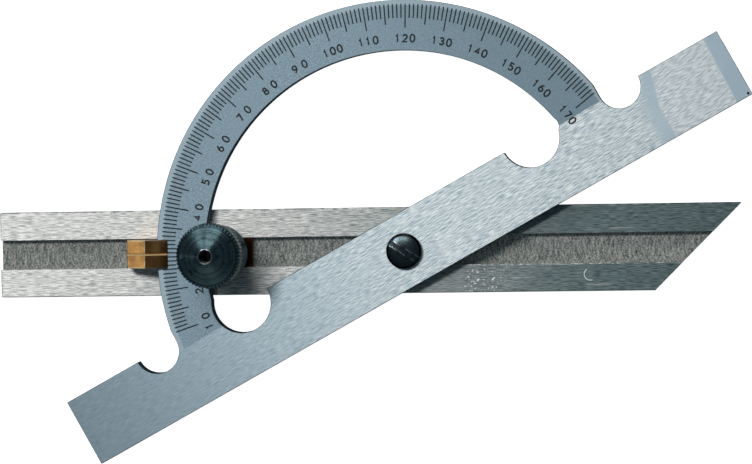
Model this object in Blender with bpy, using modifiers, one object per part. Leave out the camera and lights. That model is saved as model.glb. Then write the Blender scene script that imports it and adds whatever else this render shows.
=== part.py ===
"""Bevel protractor: an open-arc graduated plate that turns and slides on a grooved rail.

Metres, +Z up. The rail lies along X, the origin is the pivot axis at the rail's underside, and
the plate stands at its rest reading. Run it with: blender --background --python part.py
"""

import math

import bmesh
import bpy
from mathutils import Matrix, Vector

MM = 0.001

# Rest pose
REST_READING = math.radians(28.75)     # angle between the bar and the rail, read on the arc

# Rail: flat bar with a T-slot along its middle and a mitred right end
RAIL_LEFT = -66.6 * MM                 # square end
RAIL_TIP = 53.5 * MM                   # sharp corner of the mitred end, on the +Y side
RAIL_HALF_WIDTH = 6.9 * MM
RAIL_THICK = 3.0 * MM
SLOT_HALF_WIDTH = 2.4 * MM             # slot mouth between the two lands
SLOT_DEPTH = 1.4 * MM
LIP_THICK = 0.6 * MM                   # steel left above the undercut
UNDERCUT_HALF_WIDTH = 3.4 * MM
RAIL_EDGE = 0.15 * MM                  # broken edges

# Protractor plate: straight bar and open arc in one piece
BAR_HALF_LENGTH = 60.1 * MM
BAR_HALF_WIDTH = 5.7 * MM
PLATE_THICK = 2.5 * MM
ARC_OUTER = 40.0 * MM
ARC_INNER = 32.03 * MM
ARC_OUTER_SHIFT = -0.08 * MM           # neither edge is quite concentric with the pivot
ARC_INNER_SHIFT = -0.19 * MM
INNER_NOTCHES = ((-27.1 * MM, 4.8 * MM), (26.3 * MM, 4.7 * MM))     # place along the bar, radius
NOTCH_BLEND = (29.9 * MM, 1.5 * MM)       # takes the right inner notch smoothly into the arc
OUTER_NOTCHES = ((-43.0 * MM, 3.6 * MM), (42.5 * MM, 3.4 * MM))
PIVOT_HOLE_R = 2.05 * MM
PLATE_EDGE = 0.14 * MM

# Gaps between pieces
REST_GAP = 0.25 * MM                   # faces that rest on each other
SLIDE_GAP = 0.10 * MM                  # faces that slide on each other
SEAT_GAP = 0.15 * MM                   # round the screws in their threads and seats

# Levels
SLOT_FLOOR_Z = RAIL_THICK - SLOT_DEPTH
LIP_UNDERSIDE_Z = RAIL_THICK - LIP_THICK
PLATE_BOTTOM_Z = RAIL_THICK + REST_GAP
PLATE_TOP_Z = PLATE_BOTTOM_Z + PLATE_THICK

# T-slot feet of both slides
NECK_HALF_WIDTH = 2.25 * MM
FOOT_HALF_WIDTH = 3.25 * MM
FOOT_BOTTOM_Z = SLOT_FLOOR_Z + SLIDE_GAP
FOOT_TOP_Z = LIP_UNDERSIDE_Z - SLIDE_GAP
BLOCK_TOP_Z = RAIL_THICK - SLIDE_GAP
SLIDE_EDGE = 0.06 * MM

# Pivot block and pivot screw
PIVOT_BLOCK_HALF_LENGTH = 4.5 * MM
SCREW_HEAD_R = 2.83 * MM
SCREW_RIM_HEIGHT = 0.65 * MM           # straight side of the head
SCREW_DOME_HEIGHT = 0.55 * MM          # oval crown above it
SCREW_SHOULDER_R = 1.95 * MM           # the plate turns on this
SCREW_SHOULDER_END_Z = RAIL_THICK + SLIDE_GAP
SCREW_THREAD_R = 1.40 * MM
SCREW_SLOT_WIDTH = 0.75 * MM
SCREW_SLOT_DEPTH = 0.70 * MM
SCREW_SLOT_ANGLE = math.radians(-32.0)

# Index block: brass slide with a roof-shaped index over the arc's outer edge
INDEX_LEFT = -45.0 * MM
INDEX_RIGHT = -24.9 * MM
INDEX_WALL_X = -40.25 * MM             # inner face of the riser, clear of the arc's outer edge
INDEX_EAVE_X = -44.9 * MM
INDEX_RIDGE_X = -41.75 * MM
INDEX_TIP_X = -38.35 * MM
INDEX_RIDGE_RISE = 1.60 * MM           # ridge above the plate
INDEX_TIP_THICK = 0.12 * MM

# Clamp stud and clamp knob
STUD_X = -29.8 * MM
STUD_R = 0.85 * MM
STUD_HEAD_R = 1.55 * MM
STUD_HEAD_THICK = 0.45 * MM
STUD_TOP_RISE = 9.0 * MM               # stud end above the plate, sunk in the knob's hole
KNOB_BORE_R = 0.92 * MM
KNOB_NECK_R = 4.54 * MM
KNOB_HEAD_R = 5.17 * MM
KNOB_TEETH = 54
KNOB_TOOTH_DEPTH = 0.22 * MM
KNOB_HEAD_RISE = 7.8 * MM              # underside of the knurled head above the plate
KNOB_RIM_RISE = 11.0 * MM              # upper edge of the knurled head above the plate
KNOB_APEX_RISE = 13.4 * MM
KNOB_TIP_R = 1.15 * MM                 # ring left round the hole at the cone's top
KNOB_EDGE = 0.25 * MM
KNURL_TOLERANCE = 0.01 * MM            # a rim vertex lies within this of the head's radius

ARC_STEPS = 240                        # facets of a full circle at the arc's radii
HOLE_STEPS = 48
BLEND_STEPS = 20
TURN_STEPS = 64
OVERSHOOT = 1.0 * MM                   # how far cutters pass the faces that they cut


def clear_scene():
    for obj in list(bpy.data.objects):
        bpy.data.objects.remove(obj, do_unlink=True)


def new_collection(name, hidden=False):
    collection = bpy.data.collections.new(name)
    collection.hide_render = hidden
    bpy.context.scene.collection.children.link(collection)
    return collection


def make_material(name, color, roughness, metallic=1.0):
    material = bpy.data.materials.new(name)
    material.use_nodes = True
    shader = material.node_tree.nodes["Principled BSDF"]
    shader.inputs["Base Color"].default_value = (*color, 1.0)
    shader.inputs["Roughness"].default_value = roughness
    shader.inputs["Metallic"].default_value = metallic
    return material


def object_from_bmesh(name, shape, collection):
    mesh = bpy.data.meshes.new(name)
    shape.to_mesh(mesh)
    shape.free()
    obj = bpy.data.objects.new(name, mesh)
    collection.objects.link(obj)
    return obj


def box(name, low, high, collection):
    """A box between two corners."""
    low, high = Vector(low), Vector(high)
    size = high - low
    place = Matrix.Translation((low + high) / 2) @ Matrix.Diagonal((*size, 1.0))
    shape = bmesh.new()
    bmesh.ops.create_cube(shape, size=1.0, matrix=place)
    return object_from_bmesh(name, shape, collection)


def cylinder(name, radius, x, y, bottom, top, steps, collection):
    """An upright cylinder centred on (x, y)."""
    shape = bmesh.new()
    bmesh.ops.create_cone(
        shape, cap_ends=True, segments=steps, radius1=radius, radius2=radius,
        depth=top - bottom, matrix=Matrix.Translation((x, y, (bottom + top) / 2)))
    return object_from_bmesh(name, shape, collection)


def bake_mesh(obj, collection):
    """Replace obj by a plain mesh object of its evaluated shape."""
    bpy.context.view_layer.update()
    graph = bpy.context.evaluated_depsgraph_get()
    mesh = bpy.data.meshes.new_from_object(obj.evaluated_get(graph))
    place, name = obj.matrix_world.copy(), obj.name
    bpy.data.objects.remove(obj, do_unlink=True)
    shape = bmesh.new()
    shape.from_mesh(mesh)
    bmesh.ops.transform(shape, matrix=place, verts=shape.verts)
    bmesh.ops.remove_doubles(shape, verts=shape.verts, dist=1e-6)
    bmesh.ops.recalc_face_normals(shape, faces=shape.faces)
    bpy.data.meshes.remove(mesh)
    return object_from_bmesh(name, shape, collection)


def side_outline(name, points, half_width, collection):
    """A flat outline in the XZ plane, given half_width to each side in Y."""
    curve = bpy.data.curves.new(name, "CURVE")
    curve.dimensions = "2D"
    curve.fill_mode = "BOTH"
    curve.extrude = half_width
    spline = curve.splines.new("POLY")
    spline.points.add(len(points) - 1)
    for point, (x, z) in zip(spline.points, points):
        point.co = (x, z, 0.0, 1.0)
    spline.use_cyclic_u = True
    obj = bpy.data.objects.new(name, curve)
    obj.rotation_euler = (math.pi / 2, 0.0, 0.0)
    collection.objects.link(obj)
    return bake_mesh(obj, collection)


def turned(name, profile, steps, x, collection):
    """A body turned about the upright axis at x, from (radius, height) points, top to bottom."""
    mesh = bpy.data.meshes.new(name)
    edges = [(i, i + 1) for i in range(len(profile) - 1)]
    mesh.from_pydata([(radius, 0.0, height) for radius, height in profile], edges, [])
    obj = bpy.data.objects.new(name, mesh)
    obj.location = (x, 0.0, 0.0)
    collection.objects.link(obj)
    screw = obj.modifiers.new("turn", "SCREW")
    screw.axis = "Z"
    screw.steps = screw.render_steps = steps
    screw.use_merge_vertices = True
    screw.merge_threshold = 1e-6
    return obj


def combine(obj, other, operation):
    """Keep other as a hidden helper and use it in an exact Boolean on obj."""
    other.hide_render = True
    other.display_type = "WIRE"
    modifier = obj.modifiers.new(other.name, "BOOLEAN")
    modifier.operation = operation
    modifier.solver = "EXACT"
    modifier.object = other


def break_edges(obj, width):
    modifier = obj.modifiers.new("edges", "BEVEL")
    modifier.width = width
    modifier.segments = 1
    modifier.limit_method = "ANGLE"
    modifier.angle_limit = math.radians(40)


def finish(obj, material, smooth=True):
    obj.data.materials.clear()
    obj.data.materials.append(material)
    if smooth:
        obj.data.shade_smooth()
        obj.data.set_sharp_from_angle(angle=math.radians(30))


def build_rail(parts, cutters):
    rail = box("rail", (RAIL_LEFT, -RAIL_HALF_WIDTH, 0.0),
               (RAIL_TIP, RAIL_HALF_WIDTH, RAIL_THICK), parts)
    break_edges(rail, RAIL_EDGE)
    mouth = box("rail_slot_mouth",
                (RAIL_LEFT - OVERSHOOT, -SLOT_HALF_WIDTH, SLOT_FLOOR_Z + LIP_THICK / 2),
                (RAIL_TIP + OVERSHOOT, SLOT_HALF_WIDTH, RAIL_THICK + OVERSHOOT), cutters)
    undercut = box("rail_slot_undercut",
                   (RAIL_LEFT - OVERSHOOT, -UNDERCUT_HALF_WIDTH, SLOT_FLOOR_Z),
                   (RAIL_TIP + OVERSHOOT, UNDERCUT_HALF_WIDTH, LIP_UNDERSIDE_Z), cutters)
    mitre_reach = 3 * RAIL_HALF_WIDTH
    mitre = box("rail_mitre", (0.0, -2 * mitre_reach, -OVERSHOOT),
                (mitre_reach, mitre_reach, RAIL_THICK + OVERSHOOT), cutters)
    mitre.location = (RAIL_TIP, RAIL_HALF_WIDTH, 0.0)
    mitre.rotation_euler = (0.0, 0.0, -math.pi / 4)
    for cutter in (mouth, undercut, mitre):
        combine(rail, cutter, "DIFFERENCE")
    finish(rail, make_material("ground_steel", (0.62, 0.63, 0.62), 0.32), smooth=False)


def build_plate(parts, cutters):
    """The arc is a ring trimmed at the bar; notches let the index block reach both scale ends."""
    low, high = PLATE_BOTTOM_Z, PLATE_TOP_Z
    under, over = low - OVERSHOOT, high + OVERSHOOT
    plate = cylinder("protractor_plate", ARC_OUTER, ARC_OUTER_SHIFT, 0.0, low, high,
                     ARC_STEPS, parts)
    inside = cylinder("plate_inside", ARC_INNER, ARC_INNER_SHIFT, 0.0, under, over,
                      ARC_STEPS, cutters)
    reach = ARC_OUTER + OVERSHOOT
    lower_half = box("plate_lower_half", (-reach, -reach, under),
                     (reach, BAR_HALF_WIDTH - OVERSHOOT, over), cutters)
    combine(plate, inside, "DIFFERENCE")
    combine(plate, lower_half, "DIFFERENCE")
    bar = box("plate_bar", (-BAR_HALF_LENGTH, -BAR_HALF_WIDTH, low),
              (BAR_HALF_LENGTH, BAR_HALF_WIDTH, high), cutters)
    combine(plate, bar, "UNION")
    for label, (inner_x, inner_r), (outer_x, outer_r) in zip(
            ("left", "right"), INNER_NOTCHES, OUTER_NOTCHES):
        inner = cylinder(f"plate_inner_notch_{label}", inner_r, inner_x,
                         BAR_HALF_WIDTH, under, over, HOLE_STEPS, cutters)
        outer = cylinder(f"plate_outer_notch_{label}", outer_r, outer_x,
                         BAR_HALF_WIDTH, under, over, HOLE_STEPS, cutters)
        side = math.copysign(1.0, outer_x)
        ends = sorted((outer_x - side * outer_r, side * (ARC_OUTER + OVERSHOOT)))
        relief = box(f"plate_arc_relief_{label}", (ends[0], BAR_HALF_WIDTH, under),
                     (ends[1], BAR_HALF_WIDTH + outer_r, over), cutters)
        for cutter in (inner, outer, relief):
            combine(plate, cutter, "DIFFERENCE")
    blend_x, blend_r = NOTCH_BLEND
    blend = cylinder("plate_notch_blend", blend_r, blend_x, BAR_HALF_WIDTH, under, over,
                     BLEND_STEPS, cutters)
    hole = cylinder("plate_pivot_hole", PIVOT_HOLE_R, 0.0, 0.0, under, over, HOLE_STEPS, cutters)
    for cutter in (blend, hole):
        combine(plate, cutter, "DIFFERENCE")
    break_edges(plate, PLATE_EDGE)
    finish(plate, make_material("satin_steel", (0.42, 0.50, 0.54), 0.42))
    turn = bpy.data.objects.new("pivot_axis", None)
    parts.objects.link(turn)
    for piece in [plate] + [c for c in cutters.objects if c.name.startswith("plate_")]:
        piece.parent = turn
    turn.rotation_euler = (0.0, 0.0, REST_READING)


def slide_foot(name, left, right, cutters):
    """The wide foot that runs in the slot's undercut."""
    return box(name, (left, -FOOT_HALF_WIDTH, FOOT_BOTTOM_Z),
               (right, FOOT_HALF_WIDTH, FOOT_TOP_Z), cutters)


def build_pivot_block(parts, cutters):
    left, right = -PIVOT_BLOCK_HALF_LENGTH, PIVOT_BLOCK_HALF_LENGTH
    block = box("pivot_block", (left, -NECK_HALF_WIDTH, FOOT_BOTTOM_Z),
                (right, NECK_HALF_WIDTH, BLOCK_TOP_Z), parts)
    combine(block, slide_foot("pivot_block_foot", left, right, cutters), "UNION")
    hole = cylinder("pivot_block_thread", SCREW_THREAD_R + SEAT_GAP, 0.0, 0.0,
                    FOOT_BOTTOM_Z - OVERSHOOT, BLOCK_TOP_Z + OVERSHOOT, HOLE_STEPS, cutters)
    combine(block, hole, "DIFFERENCE")
    break_edges(block, SLIDE_EDGE)
    finish(block, make_material("brass_pivot_block", (0.60, 0.42, 0.20), 0.38))


def build_pivot_screw(parts, cutters):
    """Oval-head slotted shoulder screw; the crown is an arc over the head's straight rim."""
    seat = PLATE_TOP_Z + SLIDE_GAP
    rim_top = seat + SCREW_RIM_HEIGHT
    crown = [(SCREW_HEAD_R * math.sin(a), rim_top + SCREW_DOME_HEIGHT * math.cos(a))
             for a in (math.radians(90) * i / 8 for i in range(9))]
    crown[0] = (0.0, crown[0][1])
    profile = crown + [
        (SCREW_HEAD_R, seat),
        (SCREW_SHOULDER_R, seat),
        (SCREW_SHOULDER_R, SCREW_SHOULDER_END_Z),
        (SCREW_THREAD_R, SCREW_SHOULDER_END_Z),
        (SCREW_THREAD_R, FOOT_BOTTOM_Z + SLIDE_GAP),
        (0.0, FOOT_BOTTOM_Z + SLIDE_GAP),
    ]
    screw = turned("pivot_screw", profile, TURN_STEPS, 0.0, parts)
    crown_top = rim_top + SCREW_DOME_HEIGHT
    reach = SCREW_HEAD_R + OVERSHOOT
    slot = box("pivot_screw_slot",
               (-reach, -SCREW_SLOT_WIDTH / 2, crown_top - SCREW_SLOT_DEPTH),
               (reach, SCREW_SLOT_WIDTH / 2, crown_top + OVERSHOOT), cutters)
    slot.rotation_euler = (0.0, 0.0, SCREW_SLOT_ANGLE)
    combine(screw, slot, "DIFFERENCE")
    finish(screw, make_material("black_oxide_screw", (0.02, 0.022, 0.025), 0.30))


def build_index_block(parts, cutters):
    lip_bottom = PLATE_TOP_Z + SLIDE_GAP
    profile = [
        (INDEX_LEFT, FOOT_BOTTOM_Z),
        (INDEX_RIGHT, FOOT_BOTTOM_Z),
        (INDEX_RIGHT, BLOCK_TOP_Z),
        (INDEX_WALL_X, BLOCK_TOP_Z),
        (INDEX_WALL_X, lip_bottom),
        (INDEX_TIP_X, lip_bottom),
        (INDEX_TIP_X, lip_bottom + INDEX_TIP_THICK),
        (INDEX_RIDGE_X, PLATE_TOP_Z + INDEX_RIDGE_RISE),
        (INDEX_EAVE_X, PLATE_TOP_Z),
        (INDEX_LEFT, PLATE_TOP_Z - SLIDE_GAP),
    ]
    block = side_outline("index_block", profile, NECK_HALF_WIDTH, parts)
    foot = slide_foot("index_block_foot", INDEX_LEFT + SLIDE_GAP, INDEX_RIGHT - SLIDE_GAP, cutters)
    combine(block, foot, "UNION")
    hole = cylinder("index_block_hole", STUD_R + SEAT_GAP, STUD_X, 0.0,
                    FOOT_BOTTOM_Z - OVERSHOOT, BLOCK_TOP_Z + OVERSHOOT, HOLE_STEPS, cutters)
    seat = cylinder("index_block_stud_seat", STUD_HEAD_R + SEAT_GAP, STUD_X, 0.0,
                    FOOT_BOTTOM_Z - OVERSHOOT, FOOT_BOTTOM_Z + STUD_HEAD_THICK + SEAT_GAP,
                    HOLE_STEPS, cutters)
    combine(block, hole, "DIFFERENCE")
    combine(block, seat, "DIFFERENCE")
    finish(block, make_material("brass_index", (0.62, 0.43, 0.20), 0.36), smooth=False)


def build_clamp_stud(parts):
    head_bottom = FOOT_BOTTOM_Z
    profile = [
        (0.0, PLATE_TOP_Z + STUD_TOP_RISE),
        (STUD_R - SLIDE_GAP, PLATE_TOP_Z + STUD_TOP_RISE),
        (STUD_R, PLATE_TOP_Z + STUD_TOP_RISE - SLIDE_GAP),
        (STUD_R, head_bottom + STUD_HEAD_THICK),
        (STUD_HEAD_R, head_bottom + STUD_HEAD_THICK),
        (STUD_HEAD_R, head_bottom),
        (0.0, head_bottom),
    ]
    stud = turned("clamp_stud", profile, TURN_STEPS // 2, STUD_X, parts)
    finish(stud, make_material("steel_stud", (0.45, 0.45, 0.44), 0.35))


def build_clamp_knob(parts):
    """Turned thumb nut; the knurl is cut by drawing in every second column of the head."""
    base = PLATE_TOP_Z + REST_GAP
    head, rim = PLATE_TOP_Z + KNOB_HEAD_RISE, PLATE_TOP_Z + KNOB_RIM_RISE
    apex = PLATE_TOP_Z + KNOB_APEX_RISE
    shoulder_r = KNOB_HEAD_R - KNOB_TOOTH_DEPTH - KNOB_EDGE
    profile = [
        (KNOB_BORE_R, apex - KNOB_EDGE),
        (KNOB_TIP_R - SLIDE_GAP, apex),
        (KNOB_TIP_R, apex),
        (shoulder_r, rim),
        (KNOB_HEAD_R, rim - KNOB_EDGE),
        (KNOB_HEAD_R, head + KNOB_EDGE),
        (KNOB_NECK_R, head),
        (KNOB_NECK_R, base + SLIDE_GAP),
        (KNOB_NECK_R - SLIDE_GAP, base),
        (KNOB_BORE_R, base),
        (KNOB_BORE_R, apex - KNOB_EDGE),
    ]
    steps = 2 * KNOB_TEETH
    knob = bake_mesh(turned("clamp_knob", profile, steps, 0.0, parts), parts)
    for vertex in knob.data.vertices:
        flat = Vector((vertex.co.x, vertex.co.y))
        column = round(math.atan2(flat.y, flat.x) / (2 * math.pi) * steps)
        if column % 2 and flat.length > KNOB_HEAD_R - KNURL_TOLERANCE:
            flat *= (KNOB_HEAD_R - KNOB_TOOTH_DEPTH) / KNOB_HEAD_R
            vertex.co.x, vertex.co.y = flat
    knob.location = (STUD_X, 0.0, 0.0)
    finish(knob, make_material("black_oxide_knob", (0.025, 0.045, 0.060), 0.34), smooth=False)


def main():
    clear_scene()
    parts = new_collection("bevel_protractor")
    cutters = new_collection("cutters", hidden=True)
    build_rail(parts, cutters)
    build_plate(parts, cutters)
    build_pivot_block(parts, cutters)
    build_pivot_screw(parts, cutters)
    build_index_block(parts, cutters)
    build_clamp_stud(parts)
    build_clamp_knob(parts)


main()
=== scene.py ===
import math

import bmesh
import bpy
from mathutils import Euler, Matrix, Vector


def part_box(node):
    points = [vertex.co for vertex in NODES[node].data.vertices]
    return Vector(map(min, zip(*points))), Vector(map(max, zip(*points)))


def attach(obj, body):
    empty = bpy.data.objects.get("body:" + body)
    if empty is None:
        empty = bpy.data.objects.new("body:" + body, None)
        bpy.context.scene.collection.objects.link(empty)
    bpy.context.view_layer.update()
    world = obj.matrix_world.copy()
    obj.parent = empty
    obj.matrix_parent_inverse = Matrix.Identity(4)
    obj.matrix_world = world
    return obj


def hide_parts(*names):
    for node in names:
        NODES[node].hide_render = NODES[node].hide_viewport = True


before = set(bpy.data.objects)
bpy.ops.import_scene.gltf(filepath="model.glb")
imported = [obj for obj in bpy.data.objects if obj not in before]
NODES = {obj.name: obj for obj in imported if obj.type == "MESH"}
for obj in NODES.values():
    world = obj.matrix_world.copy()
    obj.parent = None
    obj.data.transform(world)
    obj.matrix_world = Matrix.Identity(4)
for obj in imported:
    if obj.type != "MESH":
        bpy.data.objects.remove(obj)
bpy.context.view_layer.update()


MM = 0.001
REST = math.radians(28.75)                   # the bar's angle to the rail at rest
RAIL_LOW, RAIL_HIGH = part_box("rail")
PLATE_LOW, PLATE_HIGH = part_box("protractor_plate")
KNOB_LOW, KNOB_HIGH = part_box("clamp_knob")
STUD_LOW, STUD_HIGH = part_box("clamp_stud")
INDEX_LOW, INDEX_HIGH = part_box("index_block")
SCREW_LOW, SCREW_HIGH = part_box("pivot_screw")
TOP = PLATE_HIGH.z
KNOB_X = (STUD_LOW.x + STUD_HIGH.x) / 2
SLOT_ANGLE = math.radians(-32)               # the screw's driver slot against the rail
RIDGE_X = INDEX_LOW.x + 3.25 * MM            # ridge of the index block's roof
EAVE_X = -44.95 * MM                         # low end of the roof's outer slope
TIP_X = -38.35 * MM                          # low end of its inner slope, over the arc
HOOK_X, HOOK_Y, HOOK_R = 29.4 * MM, -4.2 * MM, 0.95 * MM     # hooked scratch on the rail
PATCH_START = 46.3 * MM                      # slant-ground patch near the bar's right end
STRIP_START = 57.3 * MM                      # plain strip at the bar's very end
SPECK_X, SPECK_Y = 59.55 * MM, -5.25 * MM    # dark speck at the bar's corner

# Graduation on the arc, in millimetres from the pivot
TICK_START = 39.3
TICK_ENDS = {10: 35.5, 5: 36.1, 1: 37.05}
TICK_WIDTH = 0.215
DIGIT_R = 33.85
DIGIT_STROKE = 0.27
DIGIT_HALF = 0.58                            # half height of a digit's centreline
ENGRAVE = 0.06


# ---------------------------------------------------------------- material helpers

class Graph:
    """A principled material built node by node."""

    def __init__(self, name, metallic, roughness, turn=0.0):
        self.material = bpy.data.materials.new(name)
        self.material.use_nodes = True
        self.tree = self.material.node_tree
        self.shader = self.tree.nodes["Principled BSDF"]
        self.shader.inputs["Metallic"].default_value = metallic
        self.shader.inputs["Roughness"].default_value = roughness
        self.coords = self.node("ShaderNodeTexCoord").outputs["Object"]
        if turn:
            self.coords = self.scaled((1.0, 1.0, 1.0), -turn)

    def node(self, kind, **inputs):
        made = self.tree.nodes.new(kind)
        for name, value in inputs.items():
            self.put(made.inputs[name.replace("_", " ")], value)
        return made

    def put(self, socket, value):
        if isinstance(value, bpy.types.NodeSocket):
            self.tree.links.new(value, socket)
        else:
            socket.default_value = value

    def math(self, operation, *values, clamp=False):
        made = self.tree.nodes.new("ShaderNodeMath")
        made.operation = operation
        made.use_clamp = clamp
        for socket, value in zip(made.inputs, values):
            self.put(socket, value)
        return made.outputs[0]

    def scaled(self, scale, turn=0.0, offset=(0.0, 0.0, 0.0)):
        made = self.node("ShaderNodeMapping", Vector=self.coords)
        made.inputs["Scale"].default_value = scale
        made.inputs["Rotation"].default_value = (0.0, 0.0, turn)
        made.inputs["Location"].default_value = offset
        return made.outputs[0]

    def noise(self, vector, scale=1.0, detail=2.0, rough=0.5, distortion=0.0):
        made = self.node("ShaderNodeTexNoise", Vector=vector, Scale=scale, Detail=detail,
                         Roughness=rough, Distortion=distortion)
        return made.outputs[0]

    def ramp(self, value, low, high, out_low=0.0, out_high=1.0, smooth=True):
        made = self.node("ShaderNodeMapRange")
        made.interpolation_type = "SMOOTHSTEP" if smooth else "LINEAR"
        self.put(made.inputs["Value"], value)
        for name, number in (("From Min", low), ("From Max", high),
                             ("To Min", out_low), ("To Max", out_high)):
            self.put(made.inputs[name], number)
        return made.outputs[0]

    def mix(self, factor, first, second, blend="MIX"):
        made = self.tree.nodes.new("ShaderNodeMix")
        made.data_type = "RGBA"
        made.blend_type = blend
        self.put(made.inputs["Factor"], factor)
        for socket, value in ((made.inputs[6], first), (made.inputs[7], second)):
            self.put(socket, (*value, 1.0) if isinstance(value, tuple) else value)
        return made.outputs[2]

    def axes(self, vector=None):
        made = self.node("ShaderNodeSeparateXYZ", Vector=vector or self.coords)
        return made.outputs

    def bump(self, height, distance, strength=1.0, below=None):
        made = self.node("ShaderNodeBump", Height=height, Distance=distance, Strength=strength)
        if below is not None:
            self.put(made.inputs["Normal"], below)
        return made.outputs[0]

    def tangent(self, direction):
        """The direction across the grinding lines, in which a highlight is drawn out.

        It turns with the piece.
        """
        turned = self.tree.nodes.new("ShaderNodeVectorTransform")
        turned.vector_type = "VECTOR"
        turned.convert_from, turned.convert_to = "OBJECT", "WORLD"
        self.put(turned.inputs[0], direction)
        self.put(self.shader.inputs["Tangent"], turned.outputs[0])

    def color(self, value):
        self.put(self.shader.inputs["Base Color"], value)

    def rough(self, value):
        self.put(self.shader.inputs["Roughness"], value)

    def normal(self, value):
        self.put(self.shader.inputs["Normal"], value)

    def anisotropy(self, amount):
        self.shader.inputs["Anisotropic"].default_value = amount


def streaks(g, turn, along, across, detail=3.0, seed=0.0):
    """Fine lines along one direction: along and across are a line's length and width in mm."""
    vector = g.scaled((1 / (along * MM), 1 / (across * MM), 1 / (across * MM)), turn,
                      (seed, seed * 1.7, seed * 0.6))
    u, v, w = g.axes(vector)[0:3]
    flat = g.node("ShaderNodeCombineXYZ", X=u, Y=g.math("ADD", v, w)).outputs[0]
    made = g.noise(flat, 1.0, detail, 0.6)
    made.node.noise_dimensions = "2D"
    return made


# ---------------------------------------------------------------- materials

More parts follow.
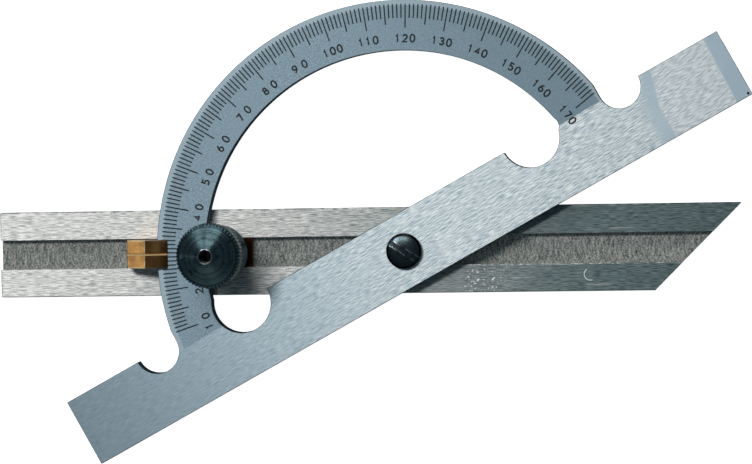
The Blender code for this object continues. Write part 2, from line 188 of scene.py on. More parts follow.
def rail_material():
    """Ground steel lands with painted shade darkening them towards +X, a milled slot with arcs left by the
    cutter, and ragged bright burrs on one slot edge that are partly a painted highlight.
    """
    g = Graph("rail_ground_steel", 1.0, 0.30)
    x, y, z = g.axes()[0:3]
    dashes = streaks(g, 0.0, 1.3, 0.080, 0.0)
    lines = streaks(g, 0.0, 5.0, 0.080, 0.0, 5.0)
    dust = streaks(g, 0.3, 0.09, 0.09, 0.0, 7.0)
    grain = g.math("ADD", g.math("MULTIPLY", dashes, 0.42),
                   g.math("ADD", g.math("MULTIPLY", lines, 0.28), g.math("MULTIPLY", dust, 0.30)))
    cloud = g.noise(g.scaled((120, 160, 160)), 1.0, 3.0)
    land = g.mix(g.ramp(grain, 0.42, 0.58), (0.32, 0.34, 0.35), (1.00, 1.00, 0.97))
    land = g.mix(g.ramp(cloud, 0.50, 0.75, 0.0, 0.25), land, (0.42, 0.46, 0.47))
    # painted shade: the lands darken towards +X, where the lights' reflection falls off
    tarnish_and_shade = g.ramp(x, -30 * MM, 34 * MM)
    land = g.mix(g.math("MULTIPLY", tarnish_and_shade, 0.90), land, (0.19, 0.29, 0.31), "MULTIPLY")
    # the slot floor: arcs of a face cutter that moved along X, both sweeps
    inside = g.math("MULTIPLY", g.math("LESS_THAN", g.math("ABSOLUTE", y), 3.39 * MM),
                    g.math("LESS_THAN", z, RAIL_HIGH.z - 0.1 * MM))
    inside = g.math("MULTIPLY", inside, g.math("GREATER_THAN", z, 0.5 * MM))
    reach = g.math("SQRT", g.math("SUBTRACT", (3.6 * MM) ** 2, g.math("MULTIPLY", y, y)))
    sweep = 0.0
    for sign, pitch, weight in ((1.0, 0.30, 0.30), (-1.0, 0.38, 0.24)):
        along = g.math("ADD", x, g.math("MULTIPLY", reach, sign))
        place = g.node("ShaderNodeCombineXYZ", X=g.math("MULTIPLY", along, 1 / (pitch * MM)),
                       Y=g.math("MULTIPLY", y, 1 / (2.2 * MM)), Z=sign * 7.0).outputs[0]
        sweep = g.math("ADD", sweep, g.math("MULTIPLY", g.noise(place, 1.0, 3.0, 0.65), weight))
    fleck = g.noise(g.scaled((3600, 3200, 3200)), 1.0, 4.0, 0.75)
    milled = g.math("ADD", sweep, g.math("MULTIPLY", fleck, 0.46))
    floor = g.mix(g.ramp(milled, 0.40, 0.60), (0.17, 0.21, 0.21), (1.00, 1.00, 0.94))
    base = g.mix(inside, land, floor)
    # ragged bright burr along the slot's -Y edge: partly a real burr, partly a painted highlight on the lit
    # edge
    edge = g.math("ABSOLUTE", g.math("ADD", y, 2.36 * MM))
    speck = g.noise(g.scaled((1500, 3500, 900)), 1.0, 4.0, 0.8)
    burr_and_highlight = g.math("MULTIPLY", g.ramp(edge, 0.30 * MM, 0.05 * MM), g.ramp(speck, 0.50, 0.66))
    base = g.mix(g.math("MULTIPLY", burr_and_highlight, inside), base, (1.0, 1.0, 0.95))
    # the same burr and painted highlight turned up on the land's rim
    rim = g.math("MULTIPLY", g.ramp(g.math("ABSOLUTE", g.math("ADD", y, 2.44 * MM)), 0.24 * MM, 0.08 * MM),
                 g.math("SUBTRACT", 1.0, inside))
    rim = g.math("MULTIPLY", rim, g.ramp(speck, 0.46, 0.62))
    base = g.mix(g.math("MULTIPLY", rim, g.ramp(x, -2 * MM, 8 * MM, 0.0, 0.8)), base, (1.0, 1.0, 0.96))
    # dents beside the pivot and a small hooked scratch near the pointed end
    dents = g.math("MULTIPLY", g.ramp(g.noise(g.scaled((2600, 2600, 900)), 1.0, 1.0), 0.64, 0.70),
                   g.math("MULTIPLY", g.ramp(x, 8 * MM, 10 * MM), g.ramp(x, 17 * MM, 14 * MM)))
    dents = g.math("MULTIPLY", dents, g.math("LESS_THAN", y, -2.6 * MM))
    hx, hy = g.math("SUBTRACT", x, HOOK_X), g.math("SUBTRACT", y, HOOK_Y)
    hook = g.math("SQRT", g.math("ADD", g.math("MULTIPLY", hx, hx), g.math("MULTIPLY", hy, hy)))
    hook = g.ramp(g.math("ABSOLUTE", g.math("SUBTRACT", hook, HOOK_R)), 0.09 * MM, 0.03 * MM)
    open_side = g.math("ADD", hx, g.math("MULTIPLY", hy, 0.5))
    hook = g.math("MULTIPLY", hook, g.math("LESS_THAN", open_side, -0.1 * MM))
    marks = g.math("MAXIMUM", dents, hook)
    base = g.mix(g.math("MULTIPLY", marks, g.math("SUBTRACT", 1.0, inside)), base, (1.0, 1.0, 0.97))
    # a few fine scratches
    scratch = g.noise(g.scaled((90, 2600, 500), 0.5), 1.0, 1.0)
    base = g.mix(g.ramp(scratch, 0.72, 0.76, 0.0, 0.35), base, (0.90, 0.92, 0.92))
    g.color(base)
    g.put(g.shader.inputs["Metallic"], g.math("SUBTRACT", 1.0, g.math("MULTIPLY", inside, 0.60)))
    g.rough(g.math("ADD", g.ramp(grain, 0.35, 0.65, 0.40, 0.52, smooth=False),
                   g.math("MULTIPLY", inside, 0.20)))
    height = g.math("ADD", g.math("MULTIPLY", grain, g.math("SUBTRACT", 1.0, inside)),
                    g.math("MULTIPLY", milled, g.math("MULTIPLY", inside, 1.6)))
    g.normal(g.bump(height, 0.010 * MM, 0.7))
    g.anisotropy(0.92)
    g.tangent(g.node("ShaderNodeCombineXYZ", X=inside, Y=g.math("SUBTRACT", 1.0, inside)).outputs[0])
    return g.material


def plate_material():
    """Satin arc and a bar ground lengthwise; x and y are along and across the bar."""
    g = Graph("plate_satin_steel", 1.0, 0.40, REST)
    x, y, z = g.axes()[0:3]
    radius = g.node("ShaderNodeVectorMath", Vector=g.coords)
    radius.operation = "LENGTH"
    radius = radius.outputs["Value"]
    soft = g.noise(g.scaled((2500, 2500, 2500)), 1.0, 1.0)
    limit = g.math("SUBTRACT", y, g.math("MULTIPLY", x, 0.018))
    limit = g.math("ADD", limit, g.math("MULTIPLY", g.math("SUBTRACT", soft, 0.5), 0.3 * MM))
    on_arc = g.math("MULTIPLY", g.math("GREATER_THAN", radius, 31.0 * MM),
                    g.math("LESS_THAN", radius, 41.0 * MM))
    arc = g.math("MULTIPLY", g.ramp(limit, 4.40 * MM, 4.60 * MM), on_arc)
    bar = g.math("SUBTRACT", 1.0, arc)
    # a patch near the right end was ground again at a slant, up to a plain strip at the very end
    start = g.math("SUBTRACT", x, g.math("MULTIPLY", g.math("MAXIMUM", y, 0.0), 0.28))
    end = g.ramp(start, PATCH_START, PATCH_START + 0.5 * MM)
    strip = g.ramp(g.math("ADD", x, g.math("MULTIPLY", y, -0.03)), STRIP_START, STRIP_START + 0.4 * MM)
    bare = g.math("MAXIMUM", strip, g.math("MULTIPLY", g.ramp(start, 42.5 * MM, 46.0 * MM),
                                           g.math("SUBTRACT", 0.8, end)))
    dashes = streaks(g, 0.0, 1.3, 0.080, 0.0)
    lines = streaks(g, 0.0, 5.0, 0.080, 0.0, 3.0)
    dust = streaks(g, 0.3, 0.09, 0.09, 0.0, 7.0)
    oblique = streaks(g, 0.26, 1.4, 0.065, 0.0, 9.0)
    grain = g.math("ADD", g.math("MULTIPLY", dashes, 0.50),
                   g.math("ADD", g.math("MULTIPLY", lines, 0.25), g.math("MULTIPLY", dust, 0.25)))
    turn_end = g.math("MULTIPLY", g.math("SUBTRACT", oblique, grain), g.math("MULTIPLY", end, 0.85))
    grain = g.math("ADD", grain, turn_end)
    fine = g.noise(g.scaled((5600, 5600, 5600)), 1.0, 2.0, 0.7)
    cloud = g.noise(g.scaled((90, 90, 90)), 1.0, 3.0)
    satin = g.mix(g.ramp(fine, 0.36, 0.64), (0.28, 0.41, 0.49), (0.54, 0.69, 0.79))
    satin = g.mix(g.ramp(cloud, 0.35, 0.7, 0.0, 0.35), satin, (0.42, 0.57, 0.66))
    satin = g.mix(g.ramp(x, 4 * MM, 34 * MM, 0.0, 0.45), satin, (0.26, 0.38, 0.45))
    contrast = g.math("MULTIPLY", g.ramp(x, -50 * MM, 0.0, 0.35, 1.0),
                      g.math("SUBTRACT", 1.0, g.math("MULTIPLY", bare, 0.75)))
    streaky = g.math("ADD", 0.5, g.math("MULTIPLY", contrast, g.math(
        "SUBTRACT", g.ramp(grain, 0.43, 0.57), 0.5)))
    ground = g.mix(streaky, (0.33, 0.43, 0.49), (0.93, 0.99, 1.00))
    bluish = g.mix(g.ramp(x, -50 * MM, 12 * MM), (0.76, 0.88, 0.96), (1.0, 1.0, 1.0))
    ground = g.mix(1.0, ground, bluish, "MULTIPLY")
    ground = g.mix(g.math("MULTIPLY", end, 0.12), ground, (0.95, 0.93, 0.92))
    cool = g.mix(g.ramp(cloud, 0.35, 0.65), (0.34, 0.48, 0.60), (0.56, 0.68, 0.77))
    cool = g.mix(g.ramp(fine, 0.40, 0.60), cool, (0.36, 0.50, 0.60))
    ground = g.mix(g.math("MULTIPLY", bare, 0.72), ground, cool)
    face = g.mix(bar, satin, ground)
    pale = g.math("MULTIPLY", arc, g.ramp(radius, 39.35 * MM, 39.60 * MM))
    face = g.mix(g.math("MULTIPLY", pale, 0.5), face, (0.74, 0.88, 0.96))
    speck = g.node("ShaderNodeVectorMath", Vector=g.coords)
    speck.operation = "DISTANCE"
    speck.inputs[1].default_value = (SPECK_X, SPECK_Y, TOP)
    face = g.mix(g.ramp(speck.outputs["Value"], 0.26 * MM, 0.16 * MM), face, (0.01, 0.01, 0.012))
    # painted shade: the side walls below the top face are darkened, and the broken top edge made nearly
    # black, as edges in shadow
    painted_wall_shade = g.ramp(z, TOP - 0.015 * MM, TOP - 0.03 * MM)
    face = g.mix(g.math("MULTIPLY", painted_wall_shade, 0.9), face, (0.50, 0.56, 0.60), "MULTIPLY")
    broken = g.math("MULTIPLY", painted_wall_shade, g.math("GREATER_THAN", z, TOP - 0.18 * MM))
    g.color(g.mix(broken, face, (0.10, 0.11, 0.12), "MULTIPLY"))
    satin_rough = g.ramp(fine, 0.2, 0.8, 0.58, 0.68, smooth=False)
    bar_rough = g.ramp(grain, 0.35, 0.65, 0.42, 0.54, smooth=False)
    change = g.math("MULTIPLY", g.math("SUBTRACT", bar_rough, satin_rough), bar)
    g.rough(g.math("ADD", satin_rough, change))
    height = g.math("ADD", g.math("MULTIPLY", grain, bar),
                    g.math("MULTIPLY", fine, g.math("SUBTRACT", 1.0, bar)))
    g.normal(g.bump(height, 0.010 * MM, 0.6))
    g.anisotropy(0.85)
    angle = g.math("MULTIPLY", REST / 2, g.math("ADD", 1.0, bar))
    g.tangent(g.node("ShaderNodeCombineXYZ", X=g.math("MULTIPLY", g.math("SINE", angle), -1.0),
                     Y=g.math("COSINE", angle)).outputs[0])
    return g.material


def paint_material():
    """Black filling of the engraved marks, slightly uneven."""
    g = Graph("scale_paint", 0.0, 0.55)
    uneven = g.noise(g.scaled((3000, 3000, 3000)), 1.0, 3.0)
    g.color(g.mix(uneven, (0.006, 0.012, 0.016), (0.030, 0.045, 0.055)))
    g.normal(g.bump(uneven, 0.01 * MM, 0.4))
    return g.material


def brass_material(name, turn=math.pi / 2):
    """Milled brass: fine lines across the slide, a little tarnish in patches."""
    g = Graph(name, 1.0, 0.34)
    lines = streaks(g, turn, 2.5, 0.10, 4.0)
    tarnish_and_shade = g.noise(g.scaled((520, 420, 420)), 1.0, 4.0, 0.6)
    dust = g.noise(g.scaled((3600, 3600, 3600)), 1.0, 3.0, 0.7)
    base = g.mix(g.ramp(lines, 0.34, 0.66), (0.66, 0.33, 0.10), (1.00, 0.60, 0.22))
    base = g.mix(g.ramp(tarnish_and_shade, 0.45, 0.72, 0.0, 0.55), base, (0.58, 0.28, 0.10))
    base = g.mix(g.ramp(dust, 0.55, 0.75, 0.0, 0.35), base, (0.36, 0.20, 0.10))
    g.color(base)
    g.rough(g.ramp(tarnish_and_shade, 0.3, 0.7, 0.20, 0.27, smooth=False))
    g.normal(g.bump(lines, 0.005 * MM, 0.5))
    return g, base


def index_material():
    """Milled brass with painted highlights along its edges, its ridge and the lower side of the index line,
    and painted shade above the line, on the inner facet and on the parts down in the slot.
    """
    g, base = brass_material("index_brass_milled")
    x, y, z = g.axes()[0:3]
    wide = g.math("ABSOLUTE", y)
    # painted highlight along the long edges and the ridge of the roof
    painted_edge_highlight = g.math("MAXIMUM", g.ramp(wide, 1.98 * MM, 2.10 * MM),
                    g.ramp(g.math("ABSOLUTE", g.math("SUBTRACT", x, RIDGE_X)), 0.22 * MM, 0.08 * MM))
    base = g.mix(g.math("MULTIPLY", painted_edge_highlight, 0.7), base, (1.0, 0.80, 0.45))
    above = g.math("GREATER_THAN", z, TOP - 0.3 * MM)
    # painted highlight: the lower wall of the index line, which faces the light, made pale and less metallic
    painted_line_highlight = g.math("MULTIPLY", above, g.math("MULTIPLY", g.math("LESS_THAN", y, 0.02 * MM),
                                           g.math("GREATER_THAN", y, -0.19 * MM)))
    shade = g.math("MULTIPLY", above, g.math("MULTIPLY", g.math("LESS_THAN", y, 0.20 * MM),
                                             g.math("GREATER_THAN", y, 0.02 * MM)))
    base = g.mix(g.math("MULTIPLY", shade, 0.3), base, (0.20, 0.11, 0.05))
    # painted shade on the parts below the roof, down in the slot
    base = g.mix(g.math("SUBTRACT", 1.0, above), base, (0.30, 0.27, 0.26), "MULTIPLY")
    # painted shade on the inner facet, which faces away from the lights
    painted_facet_shade = g.math("GREATER_THAN", x, RIDGE_X)
    base = g.mix(painted_facet_shade, base, (0.72, 0.54, 0.52), "MULTIPLY")
    g.color(g.mix(painted_line_highlight, base, (1.0, 0.78, 0.44)))
    g.put(g.shader.inputs["Metallic"], g.math("SUBTRACT", 1.0, g.math("MULTIPLY", painted_line_highlight, 0.8)))
    return g.material


def turned_black(name, centre, light, dark, rough, ring_pitch, hole_wear_highlight_shade=0.0):
    """Blackened steel with concentric tool lines about an upright axis."""
    g = Graph(name, 1.0, rough)
    x, y, z = g.axes()[0:3]
    dx = g.math("SUBTRACT", x, centre)
    radius = g.math("SQRT", g.math("ADD", g.math("MULTIPLY", dx, dx), g.math("MULTIPLY", y, y)))
    rings = g.noise(g.node("ShaderNodeCombineXYZ", X=g.math("MULTIPLY", radius, 1 / (ring_pitch * MM)),
                           Y=g.math("MULTIPLY", z, 0.4 / (ring_pitch * MM))).outputs[0], 1.0, 2.0, 0.7)
    worn = g.noise(g.scaled((1100, 1100, 1100)), 1.0, 4.0, 0.7)
    base = g.mix(g.ramp(rings, 0.35, 0.65), dark, light)
    base = g.mix(g.ramp(worn, 0.50, 0.66, 0.0, 0.75), base, tuple(0.35 * v for v in dark))
    # a bright ring round the hole's mouth, partly worn edge and partly painted highlight; then painted shade
    # darkening the bore nearly black
    base = g.mix(g.ramp(radius, 1.22 * MM, 1.16 * MM, 0.0, hole_wear_highlight_shade), base, (0.62, 0.68, 0.70))
    base = g.mix(g.ramp(radius, 1.10 * MM, 1.04 * MM, 0.0, min(hole_wear_highlight_shade, 1.0)), base, (0.01, 0.012, 0.014))
    g.color(base)
    g.rough(g.ramp(worn, 0.3, 0.7, rough - 0.04, rough + 0.08, smooth=False))
    g.normal(g.bump(worn, 0.014 * MM, 0.7, g.bump(rings, 0.02 * MM, 0.5)))
    g.tangent(g.node("ShaderNodeCombineXYZ", X=dx, Y=y).outputs[0])
    return g


def knob_material():
    g = turned_black("knob_black_steel", KNOB_X, (0.155, 0.260, 0.295), (0.055, 0.098, 0.112),
                     0.33, 0.22, 0.8)
    g.anisotropy(0.97)
    return g.material


def screw_material():
    """Blackened crown with a painted highlight along both sides of the driver slot and painted shade round
    its rim.
    """
    g = turned_black("screw_black_oxide", 0.0, (0.072, 0.098, 0.110), (0.040, 0.058, 0.066),
                     0.24, 0.35)
    x, y, z = g.axes()[0:3]
    # painted highlight along both sides of the driver slot on the crown
    across = g.math("ABSOLUTE", g.math("ADD", g.math("MULTIPLY", x, -math.sin(SLOT_ANGLE)),
                                       g.math("MULTIPLY", y, math.cos(SLOT_ANGLE))))
    slot_edge_highlight = g.math("MULTIPLY", g.ramp(across, 0.60 * MM, 0.50 * MM), g.ramp(across, 0.32 * MM, 0.36 * MM))
    patchy = g.ramp(g.noise(g.scaled((1500, 1500, 1500)), 1.0, 2.0), 0.42, 0.58)
    crown = g.math("GREATER_THAN", z, SCREW_HIGH.z - 0.5 * MM)
    slot_edge_highlight = g.math("MULTIPLY", g.math("MULTIPLY", slot_edge_highlight, patchy), crown)
    oxide_and_rim_shade = g.shader.inputs["Base Color"].links[0].from_socket
    radius = g.math("SQRT", g.math("ADD", g.math("MULTIPLY", x, x), g.math("MULTIPLY", y, y)))
    # painted shade: the crown's rim darkened to a nearly black ring
    oxide_and_rim_shade = g.mix(g.ramp(radius, 2.45 * MM, 2.60 * MM), oxide_and_rim_shade, (0.012, 0.014, 0.016))
    g.color(g.mix(slot_edge_highlight, oxide_and_rim_shade, (0.36, 0.40, 0.42)))
    return g.material


def stud_material():
    """Turned steel stud whose thread shows as fine rings round it."""
    g = Graph("stud_steel", 1.0, 0.35)
    z = g.axes()[2]
    thread = g.math("SINE", g.math("MULTIPLY", z, 2 * math.pi / (0.4 * MM)))
    worn = g.noise(g.scaled((1200, 1200, 1200)), 1.0, 3.0)
    g.color(g.mix(worn, (0.05, 0.05, 0.05), (0.12, 0.12, 0.12)))
    g.rough(g.ramp(worn, 0.3, 0.7, 0.3, 0.45, smooth=False))
    g.normal(g.bump(thread, 0.10 * MM, 0.8))
    return g.material


# ---------------------------------------------------------------- geometry helpers

def link(name, mesh):
    obj = bpy.data.objects.new(name, mesh)
    bpy.context.scene.collection.objects.link(obj)
    return obj


def bake(obj):
    """The object's evaluated mesh in place of its modifiers."""
    bpy.context.view_layer.update()
    graph = bpy.context.evaluated_depsgraph_get()
    mesh = bpy.data.meshes.new_from_object(obj.evaluated_get(graph))
    obj.modifiers.clear()
    obj.data = mesh
    return obj


def welded_copy(node, name):
    """A copy of a CAD node's mesh as one closed mesh."""
    shape = bmesh.new()
    shape.from_mesh(NODES[node].data)
    bmesh.ops.remove_doubles(shape, verts=shape.verts, dist=1e-7)
    bmesh.ops.recalc_face_normals(shape, faces=shape.faces)
    mesh = bpy.data.meshes.new(name)
    shape.to_mesh(mesh)
    shape.free()
    return link(name, mesh)


def subtract(obj, cutter, crossing=False):
    """Cuts one closed mesh from another; crossing says that the cutter's own bodies may overlap."""
    modifier = obj.modifiers.new(cutter.name, "BOOLEAN")
    modifier.operation = "DIFFERENCE"
    modifier.solver = "EXACT"
    modifier.use_self = crossing
    modifier.object = cutter
    bake(obj)
    bpy.data.objects.remove(cutter, do_unlink=True)


def prism(shape, corners, low, high):
    """Adds an upright prism over a counter-clockwise outline."""
    bottom = [shape.verts.new((x, y, low)) for x, y in corners]
    top = [shape.verts.new((x, y, high)) for x, y in corners]
    count = len(corners)
    faces = [shape.faces.new(top), shape.faces.new(bottom[::-1])]
    for i in range(count):
        j = (i + 1) % count
        faces.append(shape.faces.new((bottom[i], bottom[j], top[j], top[i])))
    for face in faces:
        face.material_index = 1


def ribbon(shape, points, width, low, high, closed=False):
    """Adds a band of constant width along a line, with mitred corners, as one closed body."""
    pts = [Vector(p) for p in points]
    count = len(pts)
    sides = []
    for i, p in enumerate(pts):
        before = pts[i - 1] if i or closed else None
        after = pts[(i + 1) % count] if i < count - 1 or closed else None
        d1 = (p - before).normalized() if before is not None else (after - p).normalized()
        d2 = (after - p).normalized() if after is not None else d1
        n1, n2 = Vector((-d1.y, d1.x)), Vector((-d2.y, d2.x))
        mid = (n1 + n2).normalized()
        reach = width / 2 / max(mid.dot(n1), 0.5)
        sides.append((p + mid * reach, p - mid * reach))
    rows = [[shape.verts.new((q.x, q.y, z)) for q, z in ((l, low), (r, low), (r, high), (l, high))]
            for l, r in sides]
    faces = []
    spans = range(count) if closed else range(count - 1)
    for i in spans:
        a, b = rows[i], rows[(i + 1) % count]
        for k in range(4):
            m = (k + 1) % 4
            faces.append(shape.faces.new((a[k], a[m], b[m], b[k])))
    if not closed:
        faces.append(shape.faces.new(rows[0][::-1]))
        faces.append(shape.faces.new(rows[-1]))
    for face in faces:
        face.material_index = 1


def arc_points(cx, cy, rx, ry, start, end, steps):
    return [(cx + rx * math.cos(math.radians(start + (end - start) * i / steps)),
             cy + ry * math.sin(math.radians(start + (end - start) * i / steps)))
            for i in range(steps + 1)]


def glyph(digit):
    """Centrelines of an engraved digit in mm: two lists of (points, closed), which may cross."""
    h = DIGIT_HALF
    if digit == "0":
        return [(arc_points(0, 0, 0.36, h, 0, 345, 23), True)], []
    if digit == "1":
        return [([(-0.24, 0.26), (-0.03, h), (-0.03, -h)], False)], []
    if digit == "2":
        bow = arc_points(0, 0.22, 0.32, 0.32, 170, -40, 12)
        return [(bow + [(-0.36, -h), (0.36, -h)], False)], []
    if digit == "3":
        upper = arc_points(-0.02, 0.27, 0.29, 0.27, 160, -80, 12)
        lower = arc_points(-0.02, -0.24, 0.33, 0.30, 80, -155, 12)
        return [(upper + lower, False)], []
    if digit == "4":
        return [([(0.14, -0.46), (0.14, 0.46), (-0.33, -0.20), (0.06, -0.20)], False)], \
               [([(0.02, -0.20), (0.36, -0.20)], False)]
    if digit == "5":
        bowl = arc_points(-0.02, -0.19, 0.34, 0.35, 125, -145, 14)
        return [([(0.30, h), (-0.24, h)] + bowl, False)], []
    if digit in "69":
        sign = 1 if digit == "6" else -1
        ring = [(sign * px, sign * py) for px, py in arc_points(0, -0.21, 0.32, 0.32, 0, 345, 23)]
        tail = [(sign * px, sign * py) for px, py in arc_points(0.28, -0.14, 0.58, 0.68, 172, 98, 8)]
        return [(ring, True)], [(tail, False)]
    if digit == "7":
        return [([(-0.34, h), (0.33, h), (-0.08, -h)], False)], []
    rings = [(arc_points(0, 0.28, 0.26, 0.26, 0, 345, 23), True)]
    return rings, [(arc_points(0, -0.22, 0.32, 0.32, 0, 345, 23), True)]


def graduation(depth_low, high):
    """Two cutters for the engraving: ticks and first strokes, and crossing strokes."""
    first, second = bmesh.new(), bmesh.new()
    for reading in range(10, 171):
        step = 10 if reading % 10 == 0 else 5 if reading % 5 == 0 else 1
        angle = REST + math.radians(180 - reading)
        along = Vector((math.cos(angle), math.sin(angle)))
        across = Vector((-along.y, along.x)) * TICK_WIDTH * MM / 2
        inner, outer = along * TICK_ENDS[step] * MM, along * TICK_START * MM
        corners = [inner - across, outer - across, outer + across, inner + across]
        prism(first, [tuple(c) for c in corners], depth_low, high)
        if step < 10:
            continue
        text = str(reading)
        pitch = 1.75 if len(text) == 2 else 1.18
        for i, digit in enumerate(text):
            shift = (i - (len(text) - 1) / 2) * pitch
            lean = angle - shift / DIGIT_R
            up = Vector((math.cos(lean), math.sin(lean)))
            right = Vector((up.y, -up.x))
            for group, shape, low in zip(glyph(digit), (first, second), (depth_low, depth_low - 0.004 * MM)):
                for points, closed in group:
                    placed = [(up * (DIGIT_R + py) + right * px) * MM for px, py in points]
                    ribbon(shape, placed, DIGIT_STROKE * MM, low, high, closed)
    cutters = []
    for name, shape in (("engraving_lines", first), ("engraving_crossings", second)):
        bmesh.ops.recalc_face_normals(shape, faces=shape.faces)
        mesh = bpy.data.meshes.new(name)
        shape.to_mesh(mesh)
        shape.free()
        cutters.append(link(name, mesh))
    return cutters


def smooth(obj, degrees=30):
    obj.data.shade_smooth()
    obj.data.set_sharp_from_angle(angle=math.radians(degrees))


def revolve(name, profile, steps, centre, flutes=None):
    """A closed turned mesh from (radius, height) points.

    flutes(radius, height, angle) gives the radius that is left after cutting.
    """
    shape = bmesh.new()
    rows = []
    for radius, height in profile:
        if radius < 1e-9:
            rows.append([shape.verts.new((centre, 0.0, height))])
            continue
        row = []
        for i in range(steps):
            angle = 2 * math.pi * i / steps
            r = flutes(radius, height, angle) if flutes else radius
            row.append(shape.verts.new((centre + r * math.cos(angle), r * math.sin(angle), height)))
        rows.append(row)
    closed = profile[0] == profile[-1]
    if closed:
        for vert in rows[-1]:
            shape.verts.remove(vert)
        rows[-1] = rows[0]
    for a, b in zip(rows, rows[1:]):
        for i in range(steps):
            j = (i + 1) % steps
            if len(a) == 1:
                shape.faces.new((a[0], b[i], b[j]))
            elif len(b) == 1:
                shape.faces.new((a[i], b[0], a[j]))
            else:
                shape.faces.new((a[i], b[i], b[j], a[j]))
    bmesh.ops.recalc_face_normals(shape, faces=shape.faces)
    mesh = bpy.data.meshes.new(name)
    shape.to_mesh(mesh)
    shape.free()
    return link(name, mesh)


def set_materials(obj, *materials):
    obj.data.materials.clear()
    for material in materials:
        obj.data.materials.append(material)


# ---------------------------------------------------------------- pieces

def engraved_plate():
    """The plate with its 161 scale lines and numerals cut in and filled with black."""
    plate = welded_copy("protractor_plate", "graduated_plate")
    set_materials(plate, plate_material(), paint_material())
    for cutter in graduation(TOP - ENGRAVE * MM, TOP + 0.5 * MM):
        for material in plate.data.materials:
            cutter.data.materials.append(material)
        subtract(plate, cutter, crossing=True)
    smooth(plate, 30)
    for face in plate.data.polygons:
        face.use_smooth = abs(face.normal.z) < 0.9
    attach(plate, "plate_body")
    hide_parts("protractor_plate")
    return plate


def fluted_knob():
    """Thumb nut: coned top with fine turned steps, rounded knurl on the head, plain neck."""
    base, apex = KNOB_LOW.z, KNOB_HIGH.z
    rim = TOP + 11.0 * MM
    head = TOP + 7.8 * MM
    outer, neck, tip, bore = 5.17 * MM, 4.54 * MM, 1.15 * MM, 0.92 * MM
    chamfer, depth = 0.28 * MM, 0.20 * MM
    shoulder = outer - depth - 0.25 * MM
    profile = [(bore, apex - 0.22 * MM), (bore + 0.05 * MM, apex - 0.10 * MM),
               (bore + 0.06 * MM, apex - 0.08 * MM), (tip - 0.04 * MM, apex)]
    steps_up = 24
    for i in range(steps_up + 1):
        t = i / steps_up
        ripple = 0.012 * MM * math.sin(t * steps_up * 2.1)
        profile.append((tip + (shoulder - tip) * t + ripple, apex + (rim - apex) * t - 0.01 * MM))
    profile += [(outer - depth * 0.6, rim - 0.10 * MM), (outer, rim - chamfer - 0.05 * MM)]
    for i in range(1, 6):
        profile.append((outer, rim - chamfer + (head - rim + 2 * chamfer) * i / 6))
    profile += [(outer, head + chamfer), (outer - depth, head + 0.06 * MM), (neck + 0.05 * MM, head),
                (neck, head - 0.08 * MM), (neck, base + 0.12 * MM), (neck - 0.12 * MM, base),
                (bore, base), (bore, apex - 0.22 * MM)]
    teeth, per_tooth = 54, 6
    low_band, high_band = head + 0.02 * MM, rim + 0.005 * MM

    def flutes(radius, height, angle):
        if not (low_band < height < high_band) or radius < outer - depth:
            return radius
        wave = 0.5 + 0.5 * math.cos(angle * teeth)
        return radius - depth * (1 - wave ** 0.7)

    knob = revolve("knurled_knob", profile, teeth * per_tooth, KNOB_X, flutes)
    set_materials(knob, knob_material())
    smooth(knob, 40)
    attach(knob, "knob_body")
    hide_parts("clamp_knob")
    return knob


def slotted_screw():
    """Oval-head screw with a broken rim, a crown and a milled slot."""
    seat, top = TOP + 0.10 * MM, SCREW_HIGH.z
    rim_r, rim_top = 2.83 * MM, TOP + 0.75 * MM
    dome = top - rim_top
    crown = [(rim_r * 0.985 * math.sin(a), rim_top + dome * math.cos(a) ** 1.15)
             for a in (math.radians(90) * i / 24 for i in range(24))]
    crown[0] = (0.0, top)
    profile = crown + [(rim_r * 0.992, rim_top), (rim_r, rim_top - 0.08 * MM), (rim_r, seat + 0.05 * MM),
                       (rim_r - 0.05 * MM, seat), (1.95 * MM, seat), (1.95 * MM, RAIL_HIGH.z + 0.1 * MM),
                       (1.4 * MM, RAIL_HIGH.z + 0.1 * MM), (1.4 * MM, SCREW_LOW.z), (0.0, SCREW_LOW.z)]
    screw = revolve("slotted_screw", profile, 144, 0.0)
    shape = bmesh.new()
    bmesh.ops.create_cube(shape, size=1.0, matrix=Matrix.Diagonal((8 * MM, 0.75 * MM, 2 * MM, 1.0)))
    mesh = bpy.data.meshes.new("screw_slot")
    shape.to_mesh(mesh)
    shape.free()
    slot = link("screw_slot", mesh)
    slot.location = (0.0, 0.0, top - 0.70 * MM + 1 * MM)
    slot.rotation_euler = (0.0, 0.0, SLOT_ANGLE)
    subtract(screw, slot)
    edges = screw.modifiers.new("edges", "BEVEL")
    edges.width = 0.08 * MM
    edges.segments = 2
    edges.limit_method = "ANGLE"
    edges.angle_limit = math.radians(50)
    bake(screw)
    set_materials(screw, screw_material())
    smooth(screw, 35)
    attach(screw, "pivot_carriage")
    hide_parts("pivot_screw")
    return screw


def facet_groove(shape, start, end, size, extra):
    """A square bar on edge along a sloping facet, so that half of it cuts a V."""
    start, end = Vector(start), Vector(end)
    along = (end - start).normalized()
    side = Vector((0.0, 1.0, 0.0))
    up = along.cross(side).normalized()
    length = (end - start).length + 2 * extra
    turn = Matrix((along, (side + up).normalized(), (up - side).normalized())).transposed().to_4x4()
    place = Matrix.Translation((start + end) / 2) @ turn @ Matrix.Diagonal((length, size, size, 1.0))
    bmesh.ops.create_cube(shape, size=1.0, matrix=place)


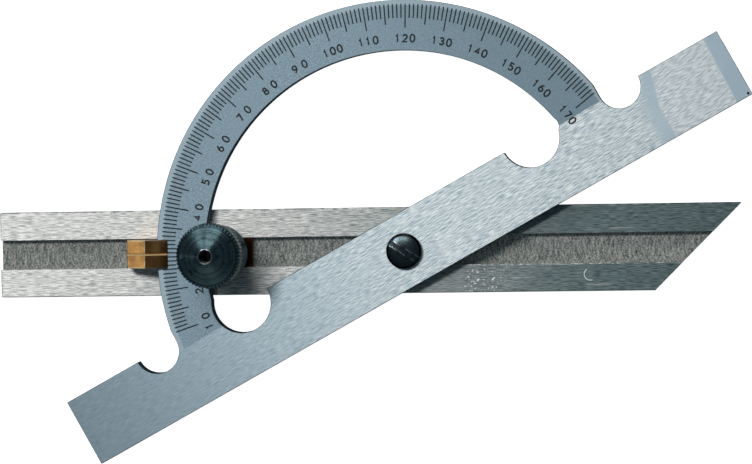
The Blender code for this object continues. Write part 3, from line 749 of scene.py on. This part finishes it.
def lined_index():
    """Brass index block with broken edges and a V line down both facets of its roof."""
    block = welded_copy("index_block", "brass_index")
    edges = block.modifiers.new("edges", "BEVEL")
    edges.width = 0.09 * MM
    edges.segments = 2
    edges.limit_method = "ANGLE"
    edges.angle_limit = math.radians(35)
    edges.use_clamp_overlap = True
    bake(block)
    ridge = (RIDGE_X, 0.0, INDEX_HIGH.z)
    for name, far, extra in (("index_line_left", (EAVE_X, 0.0, TOP - 0.02 * MM), 0.5 * MM),
                             ("index_line_right", (TIP_X, 0.0, TOP + 0.22 * MM), 0.5 * MM)):
        shape = bmesh.new()
        facet_groove(shape, far, ridge, 0.24 * MM, extra)
        bmesh.ops.recalc_face_normals(shape, faces=shape.faces)
        mesh = bpy.data.meshes.new(name)
        shape.to_mesh(mesh)
        shape.free()
        subtract(block, link(name, mesh))
    set_materials(block, index_material())
    block.data.shade_flat()
    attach(block, "index_carriage")
    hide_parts("index_block")
    return block


engraved_plate()
fluted_knob()
slotted_screw()
lined_index()
set_materials(NODES["rail"], rail_material())
set_materials(NODES["pivot_block"], brass_material("pivot_brass_milled", 0.0)[0].material)
set_materials(NODES["clamp_stud"], stud_material())


# ---------------------------------------------------------------- floor, light, camera

def white_floor():
    """A pale translucent-looking table that glows softly, as a light table does."""
    shape = bmesh.new()
    bmesh.ops.create_grid(shape, x_segments=1, y_segments=1, size=1.5)
    mesh = bpy.data.meshes.new("floor")
    shape.to_mesh(mesh)
    shape.free()
    floor = link("floor", mesh)
    floor.location = (0.0, 0.0, -0.0002)
    material = bpy.data.materials.new("floor_pale")
    material.use_nodes = True
    shader = material.node_tree.nodes["Principled BSDF"]
    shader.inputs["Base Color"].default_value = (0.9, 0.9, 0.9, 1.0)
    shader.inputs["Roughness"].default_value = 0.9
    shader.inputs["Emission Color"].default_value = (1.0, 1.0, 1.0, 1.0)
    shader.inputs["Emission Strength"].default_value = 1.0
    floor.data.materials.append(material)
    floor.visible_glossy = floor.visible_diffuse = floor.visible_shadow = False


def area_light(name, place, size, power, color=(1.0, 1.0, 1.0)):
    light = bpy.data.lights.new(name, "AREA")
    light.shape = "DISK"
    light.size = size
    light.energy = power
    light.color = color
    obj = bpy.data.objects.new(name, light)
    bpy.context.scene.collection.objects.link(obj)
    obj.location = place
    obj.rotation_euler = (-Vector(place)).to_track_quat("-Z", "Y").to_euler()
    return obj


def studio():
    """Soft lights from above and a sky that is paler at the horizon."""
    world = bpy.data.worlds.new("studio")
    bpy.context.scene.world = world
    world.use_nodes = True
    tree = world.node_tree
    background = tree.nodes["Background"]
    background.inputs["Color"].default_value = (0.62, 0.80, 0.90, 1.0)
    # brighter overhead than round the sides, as under a large ceiling light
    direction = tree.nodes.new("ShaderNodeTexCoord").outputs["Generated"]
    split = tree.nodes.new("ShaderNodeSeparateXYZ")
    tree.links.new(direction, split.inputs[0])

    def level(*numbers):
        made = tree.nodes.new("ShaderNodeMapRange")
        tree.links.new(split.outputs["Z"], made.inputs["Value"])
        for name, number in zip(("From Min", "From Max", "To Min", "To Max"), numbers):
            made.inputs[name].default_value = number
        return made.outputs[0]

    # a paler band low round the room keeps the sides readable
    band = tree.nodes.new("ShaderNodeMath")
    band.operation = "MULTIPLY_ADD"
    for socket, value in zip(band.inputs, (level(0.34, 0.06, 0.0, 0.16), level(-0.85, -0.60, 0.0, 1.0),
                                           level(0.55, 0.95, 0.02, 0.165))):
        tree.links.new(value, socket)
    tree.links.new(band.outputs[0], background.inputs["Strength"])
    warm = (1.0, 0.98, 0.96)
    area_light("key_left", (-0.27, 0.28, 0.64), 0.15, 1.10, warm)
    strip = area_light("key_strip", (-0.07, 0.28, 0.64), 0.20, 0.58, warm)
    strip.data.shape = "RECTANGLE"
    strip.data.size_y = 0.09
    back = area_light("back_strip", (0.02, 0.59, 0.38), 0.36, 0.66, warm)
    back.data.shape = "RECTANGLE"
    back.data.size_y = 0.10
    area_light("side_fill", (-0.66, -0.03, 0.26), 0.10, 0.037, warm)
    bpy.context.scene.view_settings.view_transform = "Standard"


def camera():
    """Nearly straight above the object, a little to the right."""
    data = bpy.data.cameras.new("camera")
    data.sensor_width = 36.0
    data.sensor_fit = "HORIZONTAL"
    data.lens = 140.05
    data.clip_start = 0.01
    obj = bpy.data.objects.new("camera", data)
    obj.location = (0.053854, 0.018527, 0.468569)
    obj.rotation_euler = Euler([math.radians(a) for a in (-2.0273, 7.1469, -1.0358)], "XYZ")
    bpy.context.scene.collection.objects.link(obj)
    bpy.context.scene.camera = obj


white_floor()
studio()
camera()
